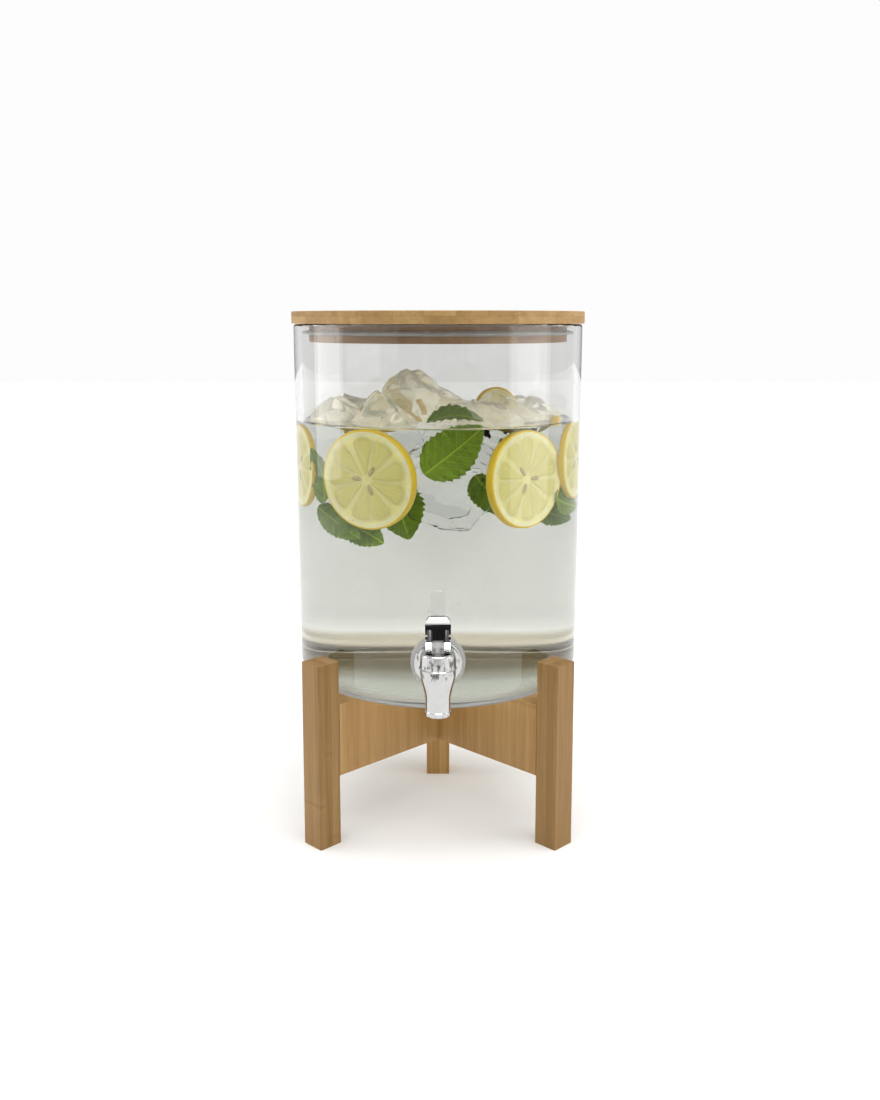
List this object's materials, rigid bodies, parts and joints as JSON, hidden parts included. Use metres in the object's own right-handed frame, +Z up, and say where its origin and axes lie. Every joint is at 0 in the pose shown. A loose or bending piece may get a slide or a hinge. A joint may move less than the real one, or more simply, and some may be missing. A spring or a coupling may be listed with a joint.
{
  "type": "countertop drink dispenser",
  "caption": "Straight glass drink jar with a bamboo lid, on a low three-legged bamboo stand, with a chromed flip-lever tap low on its front.",
  "frame": {"origin": "on the surface that the legs stand on, below the middle of the object's footprint (the jar's axis is at +Y of it, because the tap stands out to -Y)", "axes": "+Z up along the jar's axis, -Y towards the user, where the tap is, +X to the user's right"},
  "size_m": [0.22, 0.266, 0.3844],
  "materials": {
    "bamboo": "sanded and oiled",
    "dowel_wood": "fluted beech",
    "clear_glass": "clear, polished",
    "chrome": "bright chrome plate",
    "clear_silicone": "translucent, satin",
    "grey_rubber": "matte",
    "white_plastic": "moulded, satin",
    "steel": "drawn stainless steel"
  },
  "bodies": {
    "stand": {"leg_front_left": "bamboo", "leg_front_right": "bamboo", "leg_rear": "bamboo", "arm_front_left": "bamboo", "arm_front_right": "bamboo", "arm_rear": "bamboo", "leg_dowels": "dowel_wood", "centre_dowels": "dowel_wood"},
    "jar": {"glass_jar": "clear_glass", "tap_body": "chrome", "tap_bonnet": "chrome", "outer_washer": "clear_silicone", "inner_washer": "clear_silicone", "shank_nut": "white_plastic", "valve_spring": "steel", "stem_o_ring": "grey_rubber"},
    "lid": {"lid_board": "bamboo", "lid_plug": "bamboo", "lid_seal": "clear_silicone"},
    "stem": {"valve_stem": "white_plastic", "valve_seal": "grey_rubber", "lever_pin": "steel"},
    "lever": {"tap_lever": "chrome"}
  },
  "joints": [
    {"name": "jar_lift", "type": "slide", "parent": "stand", "child": "jar", "axis": [0, 0, 1], "range_m": [0, 0.045]},
    {"name": "lid_lift", "type": "slide", "parent": "jar", "child": "lid", "axis": [0, 0, 1], "range_m": [0, 0.05]},
    {"name": "stem_lift", "type": "slide", "parent": "jar", "child": "stem", "axis": [0, 0, 1], "range_m": [0, 0.0035], "stiffness_N_per_m": 300, "springref_m": -0.004, "deforming": ["valve_spring"]},
    {"name": "lever_tilt", "type": "hinge", "parent": "stem", "child": "lever", "pos_m": [0, -0.12026, 0.16755], "axis": [1, 0, 0], "range_deg": [0, 80]}
  ],
  "couplings": [
    {"joint": "lever_tilt", "follows": "stem_lift", "rad_per_m": 398.9}
  ]
}
